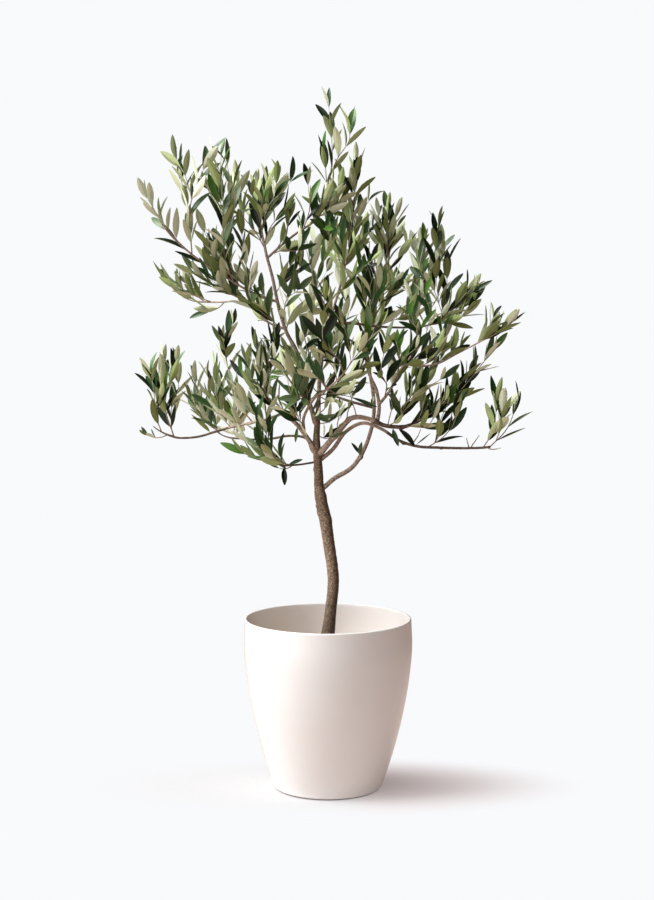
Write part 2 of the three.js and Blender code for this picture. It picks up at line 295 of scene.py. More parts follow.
def smooth_curve(points, spacing):
    """Evenly spaced places on a smooth curve through the points, and each one's place in their list."""
    points = np.asarray(points, float)
    padded = np.vstack([2 * points[0] - points[1], points, 2 * points[-1] - points[-2]])
    fine, order = [], []
    for i in range(len(points) - 1):
        a, b, c, d = padded[i : i + 4]
        for t in np.linspace(0, 1, CURVE_STEPS, endpoint=False):
            bend = (2 * a - 5 * b + 4 * c - d) * t * t + (3 * b - a - 3 * c + d) * t**3
            fine.append((2 * b + (c - a) * t + bend) / 2)
            order.append(i + t)
    fine.append(points[-1])
    order.append(len(points) - 1)
    fine = np.array(fine)
    run = np.concatenate([[0], np.cumsum(np.linalg.norm(np.diff(fine, axis=0), axis=1))])
    at = np.linspace(0, run[-1], max(3, round(run[-1] / spacing) + 1))
    path = np.column_stack([np.interp(at, run, fine[:, k]) for k in range(3)])
    return path, np.interp(at, run, order)


def tapered(thick, thin, count, power=1):
    return [thick + (thin - thick) * (i / (count - 1)) ** power for i in range(count)]


def unit(vectors):
    return vectors / np.maximum(np.linalg.norm(vectors, axis=-1, keepdims=True), 1e-12)


def frames_along(path):
    """Unit vectors along a path and two across it, turned as little as possible on the way."""
    along = unit(np.gradient(path, axis=0))
    least = np.eye(3)[np.argmin(np.abs(along[0]))]
    side = unit(np.cross(along[0], least))
    sides = []
    for direction in along:
        side = unit(side - direction * np.dot(side, direction))
        sides.append(side)
    sides = np.array(sides)
    return along, sides, np.cross(along, sides)


def closed_faces(rings, sides):
    """The faces of a body of rings of points, side by side, each side from foot to tip.

    The middles of its foot and its tip come after the rings.
    """
    foot, tip, last = rings * sides, rings * sides + 1, (rings - 1) * sides
    faces = []
    for j in range(sides):
        after = (j + 1) % sides
        faces.append((foot, after, j))
        for here in range(0, last, sides):
            there = here + sides
            faces.append((here + j, here + after, there + after, there + j))
        faces.append((last + j, last + after, tip))
    return faces


def tube(path, radii, sides, relief=None):
    """A closed tube with a domed tip. relief(ring, angle, place) gives what it adds to the radius."""
    along, side, third = frames_along(path)
    angles = np.arange(sides) * 2 * math.pi / sides
    across = side[:, None] * np.cos(angles)[:, None] + third[:, None] * np.sin(angles)[:, None]
    reach = np.repeat(np.asarray(radii, float)[:, None], sides, axis=1)
    if relief is not None:
        for i in range(len(path)):
            for j in range(sides):
                reach[i, j] += relief(i, angles[j], path[i] + across[i, j] * reach[i, j])
    rings = path[:, None] + across * reach[:, :, None]
    tip = path[-1] + along[-1] * radii[-1] * TIP_DOME
    return np.vstack([rings.reshape(-1, 3), path[0], tip]), closed_faces(len(path), sides)


# ---- limbs, read from their solids ----

BOUGH_RING_GAP = 0.008  # points of one ring of a bough's solid lie nearer together than this
TRUNK_RING_GAP = 0.017
THINNEST = 0.0009  # radius of a limb where its solid's facets give less
PATH_STEP = 0.003
COLLAR = 1.35  # how much a bough swells where it leaves its parent
COLLAR_LIMIT = 0.95  # of the parent's own radius
ROOT_SINK = 0.4  # share of the way from the parent's middle to its surface at which a root starts
JOINED = 0.003  # a limb's end this near to another limb grows from it or bears it
LEADER, LEADER_TIP = 0.036, 0.0008  # length of a limb's run past its solid's end, and its last radius
LEADER_RISE, LEADER_TAPER = 0.5, 0.7
BLUNT_LIMBS = {"low_right_bough", "low_left_bough"}  # their ends are bare stubs


def solid_points(node):
    mesh = frame["nodes"][node].data
    found = np.empty(len(mesh.vertices) * 3)
    mesh.vertices.foreach_get("co", found)
    return np.unique(np.round(found.reshape(-1, 3), 5), axis=0)


def rings_of(points, gap):
    """The points in groups, each point less than gap from another of its group."""
    left, groups = list(range(len(points))), []
    while left:
        group, edge = [], [left.pop()]
        while edge:
            here = edge.pop()
            group.append(here)
            near = [k for k in left if np.linalg.norm(points[k] - points[here]) < gap]
            left = [k for k in left if k not in near]
            edge += near
        groups.append(points[group])
    return groups


def in_order(centres):
    """The order of the centres along the limb: from one end, always on to the nearest one left."""
    distance = np.linalg.norm(centres[:, None] - centres[None], axis=2)
    order = [int(np.argmax(distance.max(axis=1)))]
    left = set(range(len(centres))) - set(order)
    while left:
        order.append(min(left, key=lambda k: distance[order[-1], k]))
        left.remove(order[-1])
    return order


class Limb:
    def __init__(self, node):
        self.name = node
        groups = rings_of(solid_points(node), TRUNK_RING_GAP if node == "trunk" else BOUGH_RING_GAP)
        centres = np.array([group.mean(axis=0) for group in groups])
        radii = np.array([np.linalg.norm(g - c, axis=1).mean() for g, c in zip(groups, centres)])
        order = in_order(centres)
        if node == "trunk" and centres[order[0]][2] > centres[order[-1]][2]:
            order = order[::-1]
        self.centres, self.ring_radii = centres[order], np.maximum(radii[order], THINNEST)
        self.trace(self.centres, self.ring_radii)

    def turn_round(self):
        self.centres, self.ring_radii = self.centres[::-1], self.ring_radii[::-1]
        self.trace(self.centres, self.ring_radii)

    def trace(self, centres, radii):
        self.path, order = smooth_curve(centres, PATH_STEP)
        self.radii = np.interp(order, np.arange(len(radii)), radii)
        self.along = unit(np.gradient(self.path, axis=0))

    def nearest(self, place):
        """Index of the path's nearest point, and how far the place is from the limb's surface there."""
        gaps = np.linalg.norm(self.path - np.asarray(place), axis=1)
        index = int(np.argmin(gaps))
        return index, gaps[index] - self.radii[index]

    def root_in(self, parent):
        """Runs the foot back into the parent, with a collar where it leaves."""
        index, _ = parent.nearest(self.centres[0])
        away = unit(self.centres[0] - self.centres[1])
        start = parent.path[max(0, index - 1)]
        inward = self.centres[0] + away * parent.radii[index]
        start = (1 - ROOT_SINK) * start + ROOT_SINK * inward
        centres = np.vstack([start, self.centres])
        collar = min(self.ring_radii[0] * COLLAR, parent.radii[index] * COLLAR_LIMIT)
        self.trace(centres, np.concatenate([[collar], self.ring_radii]))

    def run_out(self):
        """Carries the tip on as a tapering leader, inside the foliage."""
        steps = round(LEADER / PATH_STEP)
        way = unit(self.along[-1] + np.array((0, 0, LEADER_RISE)))
        more = [self.path[-1]]
        for i in range(1, steps + 1):
            bend = unit(self.along[-1] + (way - self.along[-1]) * i / steps)
            more.append(more[-1] + bend * PATH_STEP)
        thinner = tapered(self.radii[-1], LEADER_TIP, steps + 1, LEADER_TAPER)
        self.path = np.vstack([self.path, more[1:]])
        self.radii = np.concatenate([self.radii, thinner[1:]])
        self.along = unit(np.gradient(self.path, axis=0))


slots = {part["node"]: part["material_slot"] for part in frame["record"]["subparts"]}
limbs = {node: Limb(node) for node, slot in slots.items() if slot == "bark"}
parents = {}  # each bough grows from the limb that its nearer end joins, or its thicker one if both do
for name, limb in limbs.items():
    if name != "trunk":
        others = [other for other in limbs.values() if other is not limb]
        ends = []
        for end in (limb.centres[0], limb.centres[-1]):
            ends.append(min((other.nearest(end)[1], other.name) for other in others))
        tip_first = ends[1] < ends[0]
        if max(ends)[0] < JOINED:
            tip_first = limb.ring_radii[-1] > limb.ring_radii[0]
        if tip_first:
            limb.turn_round()
            ends.reverse()
        parents[name] = ends[0][1]
tips = {name: limb.path[-1] for name, limb in limbs.items()}
for name, parent in parents.items():
    limbs[name].root_in(limbs[parent])
for name, limb in limbs.items():
    others = [other for other in limbs.values() if other is not limb]
    if name not in BLUNT_LIMBS and min(other.nearest(tips[name])[1] for other in others) > JOINED:
        limb.run_out()

# ---- bark ----

TRUNK_STEP, BOUGH_STEP = 0.0022, 0.0028  # from ring to ring
TRUNK_SIDES, BOUGH_SIDES = 48, 20
BARK_BENDS = 60  # its bark follows at least so many places of a limb's path, or all that it has
GRAIN_SCALE = 230.0  # waves of the bark's relief in a metre
GRAIN_STRETCH = 0.4  # the ridges run along the limb
GRAIN_DEEP, SWELLING = 0.045, 0.07  # shares of the radius
RIDGES = ((1, 0.8), (0.5, 1.9))  # height and fineness of each set of ridges
SLOW, SLOW_START = 0.11, 3.1  # fineness of the swellings, and where in the noise they start
# limb, share of its length, side it stands on, height and width of each knot
KNOTS = [
    ("trunk", 0.035, (-1, -0.3, 0), 0.0035, 0.011),
    ("trunk", 0.06, (0.4, -1, 0), 0.0015, 0.008),
    ("trunk", 0.34, (-0.3, -1, 0), 0.0008, 0.005),
    ("trunk", 0.50, (-0.6, -1, 0), 0.0014, 0.004),
    ("trunk", 0.535, (0.9, -0.5, 0), 0.0016, 0.007),
    ("trunk", 0.57, (-1, -0.2, 0), 0.0016, 0.006),
    ("trunk", 0.60, (-1, -0.4, 0), 0.0022, 0.0035),
    ("trunk", 0.63, (1, -0.6, 0), 0.003, 0.009),
    ("trunk", 0.735, (-1, -0.5, 0), 0.0018, 0.004),
    ("trunk", 0.78, (0.3, -1, 0), 0.002, 0.006),
    ("arch_bough", 0.20, (1, -0.3, -0.6), 0.0018, 0.005),
    ("arch_bough", 0.28, (-0.5, -0.3, 1), 0.0026, 0.004),
    ("arch_bough", 0.355, (0.2, -0.3, 1), 0.0022, 0.0035),
    ("arch_bough", 0.56, (0, -0.5, 1), 0.0022, 0.006),
    ("arch_bough", 0.76, (0.4, -0.3, -0.6), 0.002, 0.004),
    ("elbow_bough", 0.12, (0, -1, 0.3), 0.001, 0.003),
    ("elbow_bough", 0.385, (0.8, -0.3, -0.8), 0.002, 0.004),
    ("low_right_bough", 0.55, (0.2, -0.3, -1), 0.0022, 0.003),
    ("low_right_bough", 0.75, (0.2, -0.3, -1), 0.0012, 0.002),
    ("long_left_bough", 0.26, (0, -0.5, -1), 0.001, 0.003),
    ("upright_bough", 0.18, (1, -0.5, 0), 0.0014, 0.003),
    ("upright_bough", 0.41, (-1, -0.5, 0), 0.0016, 0.0035),
]


def bark_relief(limb, path, radii):
    """What the bark's grain, its slow swellings and the limb's knots add to the radius at a place."""
    run = np.concatenate([[0], np.cumsum(np.linalg.norm(np.diff(path, axis=0), axis=1))])
    along, _, _ = frames_along(path)
    knots = []
    for name, share, side, height, width in KNOTS:
        if name == limb.name:
            ring = int(np.argmin(np.abs(run - share * run[-1])))
            out = np.array(side, float)
            out = unit(out - along[ring] * np.dot(out, along[ring]))
            knots.append((path[ring] + out * radii[ring], height, width))

    def relief(ring, angle, place):
        around = Vector((math.cos(angle), math.sin(angle), 0)) * radii[ring] * GRAIN_SCALE
        around.z = run[ring] * GRAIN_SCALE * GRAIN_STRETCH
        ridge = sum(high * abs(noise.noise(around * fine)) for high, fine in RIDGES)
        slow = noise.noise(around * SLOW + Vector((SLOW_START, 0, len(limb.name))))
        added = radii[ring] * (GRAIN_DEEP * (0.9 - 2.2 * ridge) + SWELLING * slow)
        for centre, height, width in knots:
            gap = np.linalg.norm(place - centre)
            if gap < 3 * width:
                added += height * math.exp(-((gap / width) ** 2))
        return added

    return relief


TRUNK_BARK = ((0.07, 0.047, 0.031), (0.25, 0.18, 0.125), (0.55, 0.41, 0.29))
BOUGH_BARK = ((0.21, 0.15, 0.115), (0.55, 0.425, 0.34), (0.84, 0.71, 0.60))
SHADED_BARK = ((0.035, 0.021, 0.015), (0.12, 0.078, 0.056), (0.30, 0.22, 0.16))
# how far along each of these limbs its bark turns to a darker copy: painted shade, where the limb lies in
# the shade of other limbs and of the foliage
SHADED_FROM = {
    "arch_bough": 0.54,
    "low_right_bough": 0.45,
    "long_left_bough": 0.42,
    "low_left_bough": 0,
    "rear_left_bough": 0,
    "rear_cross_bough": 0,
    "cross_bough": 0,
}
NEVER = 2  # past a limb's end

trunk_tone = bark_material("trunk_bark", *TRUNK_BARK)
bough_tone = bark_material("bark", *BOUGH_BARK)
shaded_tone = bark_material("dark_bark", *SHADED_BARK)
for name, limb in limbs.items():
    step, sides, tone = BOUGH_STEP, BOUGH_SIDES, bough_tone
    if name == "trunk":
        step, sides, tone = TRUNK_STEP, TRUNK_SIDES, trunk_tone
    path, _ = smooth_curve(limb.path[:: max(1, len(limb.path) // BARK_BENDS)], step)
    shares = np.linspace(0, 1, len(path))
    radii = np.interp(shares, np.linspace(0, 1, len(limb.radii)), limb.radii)
    points, faces = tube(path, radii, sides, bark_relief(limb, path, radii))
    row = len(path) + 1  # faces of one side of the tube
    # faces past this share are painted in shade with the darker bark
    shaded_place = SHADED_FROM.get(name, NEVER) * row
    face_tones = [int(face % row >= shaded_place) for face in range(len(faces))]
    piece = make_piece(name + "_bark", points, faces, [tone, shaded_tone], "bark", face_tones)
    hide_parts(name)

# ---- leaves ----

# places across a leaf, in half widths, and along it, in lengths
LEAF_COLUMNS = np.array([-1, -0.6, -0.07, 0.07, 0.6, 1])
LEAF_STATIONS = np.array([0, 0.05, 0.12, 0.22, 0.36, 0.52, 0.68, 0.82, 0.92, 0.975, 1])
PETIOLE = 0.06
LEAF_THICK = 0.00045
RIB_DEEP = 0.00035
RIB_HALF = 0.1  # half of the rib's width, as a share of the half leaf
LEAF_LENGTH = 0.050
LEAF_SLIM = (0.205, 0.31)  # width as a share of length
LEAF_RISE = 0.45  # how much a leaf turns up from its own way off the shoot
LEAF_LIMIT = 980  # leaves in one piece
BLADE_LEAN, BLADE_FULLNESS = 0.95, 0.70  # where along a leaf it's widest, and how full it is there
PETIOLE_WIDTH, TIP_WIDTH = 0.09, 0.015  # shares of the leaf's own width
FACE_RISE, FACE_STRAY = 0.15, 0.5  # how far its upper side turns up, and its give or take
LEAF_BEND, LEAF_FOLD = (0.12, 0.22), (0.12, 0.42)  # middle, and give or take; lowest and highest
LEAF_TWIST, LEAF_SWAY = 0.35, 0.04

UPPER, UNDER, RIB = range(3)


def leaf_half_width(station):
    """Share of a leaf's full half width at a place along it."""
    blade = np.clip((station - PETIOLE) / (1 - PETIOLE), 0, 1)
    least = np.where(station < 0.1, PETIOLE_WIDTH, TIP_WIDTH)
    return np.maximum(np.sin(np.pi * blade**BLADE_LEAN) ** BLADE_FULLNESS, least)


def leaf_faces():
    """The faces of one closed leaf: its upper sheet, then its under sheet, which share the margin."""
    stations, columns = len(LEAF_STATIONS), len(LEAF_COLUMNS)
    upper = np.arange(stations * columns).reshape(stations, columns)
    under = upper.copy()
    inner = (stations - 2) * (columns - 2)
    under[1:-1, 1:-1] = stations * columns + np.arange(inner).reshape(stations - 2, columns - 2)
    faces, materials = [], []
    for i in range(stations - 1):
        for j in range(columns - 1):
            faces.append((upper[i, j], upper[i, j + 1], upper[i + 1, j + 1], upper[i + 1, j]))
            materials.append(UPPER)
            faces.append((under[i, j], under[i + 1, j], under[i + 1, j + 1], under[i, j + 1]))
            materials.append(RIB if j == columns // 2 - 1 else UNDER)
    return np.array(faces), np.array(materials)


def leaf_points(leaves):
    """All points of a list of leaves, shaped one by one from their own measures."""
    base, ahead, face, length, width, bend, fold, twist, sway = (
        np.array(column)[:, None, None] for column in zip(*leaves)
    )
    side = np.cross(ahead, face)
    t = LEAF_STATIONS[None, :, None]
    c = LEAF_COLUMNS[None, None, :]
    half = leaf_half_width(t) * width / 2
    bend = np.where(np.abs(bend) < 1e-3, 1e-3, bend)
    forward = length * np.sin(bend * t) / bend
    down = length * (1 - np.cos(bend * t)) / bend
    turn = twist * t
    across, lift = c * half, fold * np.abs(c) * half
    out = across * np.cos(turn) - lift * np.sin(turn) + sway * length * t * t
    rise = across * np.sin(turn) + lift * np.cos(turn)
    thick = LEAF_THICK * (1 - np.abs(c)) + RIB_DEEP * (np.abs(c) < RIB_HALF)
    thick = thick * np.sin(np.pi * np.clip(t, 0.1, 0.9))
    facing = face * np.cos(bend * t)[..., None] + ahead * np.sin(bend * t)[..., None]
    centre = base + ahead * forward[..., None] - face * down[..., None]
    upper = centre + side * out[..., None] + facing * rise[..., None]
    under = upper - facing * thick[..., None]
    sheets = (upper, under[:, 1:-1, 1:-1])
    return np.concatenate([sheet.reshape(len(leaves), -1, 3) for sheet in sheets], axis=1)


# upper side, under side and rib of each tone
LEAF_TONES = {
    "deep": ((0.005, 0.017, 0.003), (0.235, 0.30, 0.10), (0.37, 0.42, 0.19)),
    "olive": ((0.018, 0.056, 0.010), (0.42, 0.49, 0.24), (0.56, 0.61, 0.35)),
    "sage": ((0.035, 0.088, 0.028), (0.66, 0.715, 0.45), (0.76, 0.79, 0.56)),
    "fresh": ((0.068, 0.168, 0.024), (0.46, 0.58, 0.25), (0.62, 0.69, 0.37)),
    "silver": ((0.10, 0.16, 0.065), (0.845, 0.92, 0.68), (0.92, 0.94, 0.76)),
}
TONE_NAMES = list(LEAF_TONES)
ODD_LEAVES = 0.3  # share of a spray's leaves that may be of any tone
leaves_by_tone = {tone: [] for tone in TONE_NAMES}

# ---- growth ----

# room round a shoot, from the most open growth to the thickest
SPARSE, AIRY, OPEN, EVEN = 0.038, 0.031, 0.025, 0.0205
FULL, DENSE, CROWDED = 0.0175, 0.015, 0.0125
# weights of the tones above; besides the leaves' own mix they paint light and shade: masses that lie in
# shade get the darker mixes, lit masses and ones that the crown shades too deeply get the paler ones
DARK, SHADY, MIXED = (10, 4, 1, 1, 0), (7, 4, 2, 1, 1), (4, 4, 3, 1, 2)
BRIGHT, PALE, LIT = (3, 3, 4, 2, 4), (2, 2, 4, 1, 5), (0, 1, 3, 2, 10)
# the bough that bears each mass, the room round its shoots, and their tones
MASSES = {
    "top_spire": ("crown_bough", AIRY, SHADY),
    "peak_left": ("crown_bough", AIRY, SHADY),
    "peak_right": ("peak_bough", EVEN, MIXED),
    "upper_left_high": ("upper_left_bough", EVEN, LIT),
    "upper_left_mid": ("upright_bough", OPEN, PALE),
    "upper_left_inner": ("upright_bough", EVEN, BRIGHT),
    "far_left_high": ("upper_left_bough", AIRY, LIT),
    "far_left_tip": ("upper_left_bough", OPEN, LIT),
    "left_mid": ("upper_left_bough", EVEN, LIT),
    "left_strand_tip": ("left_strand_bough", FULL, PALE),
    "left_shoot": ("long_left_bough", OPEN, LIT),
    "front_left": ("upright_bough", SPARSE, LIT),
    "centre_top": ("leader_bough", OPEN, BRIGHT),
    "centre_mid": ("leader_bough", AIRY, PALE),
    "front_low": ("front_bough", OPEN, LIT),
    "front_mid": ("front_bough", AIRY, BRIGHT),
    "front_right": ("twin_riser", AIRY, SHADY),
    "rear_mid": ("rear_cross_bough", SPARSE, BRIGHT),
    "rear_low": ("rear_cross_bough", SPARSE, LIT),
    "rear_right": ("upper_right_bough", OPEN, SHADY),
    "right_centre_top": ("upper_right_bough", FULL, SHADY),
    "right_centre": ("upper_right_bough", FULL, SHADY),
    "right_inner": ("right_inner_bough", SPARSE, LIT),
    "rear_high": ("peak_bough", EVEN, BRIGHT),
    "front_high": ("crown_bough", SPARSE, BRIGHT),
    "right_upper": ("cross_bough", EVEN, SHADY),
    "right_shoulder": ("cross_bough", DENSE, DARK),
    "right_front": ("right_inner_bough", OPEN, SHADY),
    "right_high_spray": ("right_riser_bough", EVEN, MIXED),
    "right_far_spray": ("arch_bough", CROWDED, DARK),
    "right_low": ("arch_bough", FULL, SHADY),
    "right_tip_spray": ("low_right_bough", AIRY, SHADY),
    "lower_left_tip": ("long_left_bough", EVEN, MIXED),
    "lower_left_mid": ("long_left_bough", EVEN, LIT),
    "left_inner": ("fork_left_bough", OPEN, LIT),
    "low_left_hang": ("low_left_bough", OPEN, MIXED),
    "rear_left_low": ("rear_left_bough", OPEN, PALE),
}

# two masses, how far from the first to the second the gap's middle is, its radius, room and tones
GAPS = [
    ("front_low", "right_low", 0.72, 0.030, FULL, SHADY),
    ("left_mid", "front_high", 0.22, 0.020, DENSE, PALE),
    ("front_left", "left_inner", 0.4, 0.024, DENSE, PALE),
    ("right_inner", "right_low", 0.45, 0.028, DENSE, SHADY),
    ("right_front", "right_low", 0.3, 0.026, DENSE, SHADY),
    ("right_front", "right_low", 0.65, 0.024, FULL, SHADY),
    ("right_shoulder", "right_low", 0.35, 0.026, DENSE, SHADY),
    ("right_shoulder", "right_far_spray", 0.45, 0.020, DENSE, SHADY),
    ("right_high_spray", "right_far_spray", 0.35, 0.022, FULL, SHADY),
    ("right_tip_spray", "right_far_spray", 0.12, 0.020, DENSE, SHADY),
    ("front_low", "low_left_hang", 0.45, 0.028, DENSE, MIXED),
    ("left_inner", "low_left_hang", 0.6, 0.024, DENSE, MIXED),
    ("left_inner", "left_shoot", 0.55, 0.024, FULL, MIXED),
    ("left_mid", "front_left", 0.55, 0.024, FULL, PALE),
    ("left_mid", "rear_low", 0.45, 0.026, DENSE, MIXED),
    ("left_mid", "left_shoot", 0.5, 0.024, DENSE, MIXED),
    ("left_mid", "upper_left_mid", 0.5, 0.026, DENSE, PALE),
    ("front_left", "left_shoot", 0.4, 0.026, DENSE, MIXED),
    ("upper_left_inner", "front_high", 0.45, 0.022, DENSE, SHADY),
    ("upper_left_high", "upper_left_mid", 0.5, 0.024, FULL, PALE),
    ("upper_left_high", "left_mid", 0.4, 0.022, DENSE, PALE),
    ("far_left_high", "upper_left_high", 0.3, 0.022, FULL, PALE),
    ("far_left_high", "left_mid", 0.55, 0.028, FULL, PALE),
    ("front_high", "front_left", 0.35, 0.022, DENSE, MIXED),
    ("peak_left", "peak_right", 0.5, 0.022, FULL, SHADY),
    ("top_spire", "peak_left", 0.3, 0.022, FULL, SHADY),
    ("right_centre_top", "right_upper", 0.45, 0.024, DENSE, MIXED),
    ("right_centre_top", "right_centre", 0.45, 0.022, FULL, SHADY),
    ("right_centre", "right_upper", 0.5, 0.022, DENSE, SHADY),
    ("rear_high", "right_centre_top", 0.4, 0.022, FULL, MIXED),
    ("front_left", "rear_mid", 0.5, 0.020, FULL, MIXED),
    ("front_mid", "front_low", 0.3, 0.022, FULL, MIXED),
    ("front_low", "front_right", 0.5, 0.022, FULL, MIXED),
    ("front_low", "right_low", 0.28, 0.021, FULL, MIXED),
]

SAMPLES = 500
SIDE_ROOM, SIDE_SHARE = 0.009, 0.3  # from a shoot to its mass's surface, or this share of a slim mass
TIP_ROOM = 0.030  # room that the leaves at a shoot's end need past it
TIP_ROOMS = {
    "upper_left_inner": 0.055,
    "upper_left_mid": 0.045,
    "left_strand_tip": 0.045,
    "far_left_high": 0.04,
    "far_left_tip": 0.045,
    "right_high_spray": 0.045,
    "lower_left_tip": 0.045,
    "right_tip_spray": 0.04,
    "right_upper": 0.014,
    "right_centre_top": 0.014,
    "low_left_hang": 0.05,
}
TIP_SHARE, TIP_OUT = 0.75, 0.003  # share of that room a place needs ahead, and how far out it may reach
RISE = 0.75  # how far shoots grow up
OUTWARD = 1.2  # how much they lean out for each metre from the trunk
LEAN = 0.3  # how far they follow the long way of their mass
LEANS = {"right_far_spray": 2.0, "far_left_tip": 1.0, "right_high_spray": 0.8, "low_left_hang": 0.0}
WAY_STRAY = 0.11
CLOSEST = 0.5  # share of the room round a shoot that no other comes into
PLACES_APART = 0.010  # between the places that shoots grow through
SHOOTS_APART = 0.009  # on the limb or shoot that bears them
SHORTEST_SHOOT = 0.035
USUAL_SHOOT = 0.075  # from where it starts to the place it grows through
TURN_COST, FORK_COST = 0.09, 0.03  # what growing the wrong way counts as, in metres of wrong length
ROOT_REACH = 0.022  # how far outside a mass the limbs may be that shoots start from
SHOOT_STEP = 0.007
SHOOT_TIP = 0.00055  # radius
SHOOT_FOOT, SHOOT_FOOT_MORE = 0.0007, 0.0045  # radius, and how much more for each metre of length
SHOOT_FOOT_MOST = 0.85  # share of the radius of what bears it
SHOOT_TAPER = 0.8
SHOOT_PIN, SHOOT_SPRING, SHOOT_WAVE = 0.4, 0.12, 0.03  # shares of the way to the place it grows through
ROOTLESS = 0.0015  # radius of what would bear a shoot where nothing does
BARE, BARE_MORE = 0.008, 0.06  # wood without leaves, and how much more for each metre of length
BARE_MOST = 0.25  # share of the shoot
NODE_GAP = 0.025  # from one pair of leaves to the next
GAP_STRAY = (0.8, 1.25)
NEAR_TIP = 0.05  # along this last stretch of a shoot leaves get smaller, closer and steeper
TIP_SHRINK = 0.15
END_SIZES, END_NARROW = (0.65, 0.9), 1.2
MISSING = 0.07  # share of the leaves
LEAF_SIZES = (0.8, 1.18)
LEAF_ANGLE, TIP_ANGLE, ANGLE_STRAY = 35, 10, 8  # from the shoot, less at its tip, and give or take
ROUND_STRAY, TURN_STRAY = 0.25, 0.2  # give or take of a leaf's place round the shoot, and of each pair's

twigs = []  # (path, radii)
leafed_places = []
bearing_nodes = []  # (place, direction, radius) that a shoot may start from
for limb in limbs.values():
    if limb.name != "trunk":
        for i in range(4, len(limb.path), 2):
            bearing_nodes.append((Vector(limb.path[i]), Vector(limb.along[i]), float(limb.radii[i])))


class Space:
    """The room of one mass, where its shoots grow."""

    shortest, reach = SHORTEST_SHOOT, ROOT_REACH

    def __init__(self, node):
        solid = bmesh.new()
        solid.from_mesh(frame["nodes"][node].data)
        self.tree, self.volume = BVHTree.FromBMesh(solid), abs(solid.calc_volume())
        solid.free()
        self.points = solid_points(node)
        self.low, self.high = self.points.min(axis=0), self.points.max(axis=0)
        self.tip_room, self.lean = TIP_ROOMS.get(node, TIP_ROOM), LEANS.get(node, LEAN)

    def depth(self, place):
        """How far inside the surface a place is, and below zero outside, as its nearest face has it."""
        hit, normal, _, gap = self.tree.find_nearest(place)
        return -gap if (place - hit).dot(normal) > 0 else gap


class Gap:
    """A round room between two masses, where shoots grow too."""

    shortest, reach = 0.6 * SHORTEST_SHOOT, 2 * ROOT_REACH
    tip_room, lean = 0.02, LEAN

    def __init__(self, first, second, share, radius):
        ends = [Vector(solid_points(node).mean(axis=0)) for node in (first, second)]
        self.centre, self.radius = ends[0].lerp(ends[1], share), radius
        self.low, self.high = np.array(self.centre) - radius, np.array(self.centre) + radius
        self.points = [self.centre + UP * radius]
        self.volume = 4 / 3 * math.pi * radius**3

    def depth(self, place):
        return self.radius - (place - self.centre).length


def add_leaf(place, ahead, toward, size, tone, rng):
    face = toward + UP * FACE_RISE
    face = (face - ahead * face.dot(ahead)).normalized()
    face = (Matrix.Rotation(rng.gauss(0, FACE_STRAY), 3, ahead) @ face).normalized()
    length = LEAF_LENGTH * size
    width = length * rng.uniform(*LEAF_SLIM)
    bend, fold = rng.gauss(*LEAF_BEND), rng.uniform(*LEAF_FOLD)
    twist, sway = rng.gauss(0, LEAF_TWIST), rng.gauss(0, LEAF_SWAY)
    leaves_by_tone[tone].append((place[:], ahead[:], face[:], length, width, bend, fold, twist, sway))


def leaf_pair(place, along, turn, size, tone, rng, narrow):
    """Two opposite leaves at a node of a shoot, their upper sides turned up along it."""
    least = Vector((1, 0, 0)) if abs(along.x) < 0.7 else Vector((0, 1, 0))
    side = along.cross(least).normalized()
    third = along.cross(side)
    for half_turn in (0, math.pi):
        if rng.random() < MISSING:
            continue
        angle = turn + half_turn + rng.gauss(0, ROUND_STRAY)
        out = side * math.cos(angle) + third * math.sin(angle)
        spread = math.radians(rng.gauss(LEAF_ANGLE - TIP_ANGLE * narrow, ANGLE_STRAY))
        ahead = along * math.cos(spread) + out * math.sin(spread)
        ahead = (ahead + UP * LEAF_RISE).normalized()
        own_tone = rng.choice(TONE_NAMES) if rng.random() < ODD_LEAVES else tone
        add_leaf(place, ahead, along, size * rng.uniform(*LEAF_SIZES), own_tone, rng)


def lay_leaves(path, bare, tone_weights, rng):
    """Opposite pairs from the bare wood to the tip, each pair turned a quarter from the last."""
    tone = rng.choices(TONE_NAMES, tone_weights)[0]
    gaps = [(b - a).length for a, b in zip(path, path[1:])]
    length, turn = sum(gaps), rng.uniform(0, 2 * math.pi)
    at = bare
    while at < length - NODE_GAP / 2:
        rest, index = at, 0
        while index < len(gaps) - 1 and rest > gaps[index]:
            rest -= gaps[index]
            index += 1
        place = path[index].lerp(path[index + 1], min(1, rest / gaps[index]))
        along = (path[index + 1] - path[index]).normalized()
        near_tip = max(0.0, 1 - (length - at) / NEAR_TIP)
        shrink = 1 - TIP_SHRINK * near_tip
        leaf_pair(place, along, turn, shrink, tone, rng, near_tip)
        turn += math.pi / 2 + rng.gauss(0, TURN_STRAY)
        at += NODE_GAP * rng.uniform(*GAP_STRAY) * shrink
    end = (path[-1] - path[-2]).normalized()
    leaf_pair(path[-1], end, turn, rng.uniform(*END_SIZES), tone, rng, END_NARROW)


def shoot_path(start, start_way, through, tip, rng):
    """A smooth path from a limb or an earlier shoot to its tip, by way of one place."""
    first = start.lerp(through, SHOOT_PIN) + start_way * (through - start).length * SHOOT_SPRING
    wave = Vector([rng.gauss(0, SHOOT_WAVE) for _ in range(3)]) * (through - start).length
    points = [start, first, through + wave]
    if (tip - through).length > SHOOT_STEP:
        points.append(tip)
    path, _ = smooth_curve(points, SHOOT_STEP)
    return [Vector(p) for p in path]


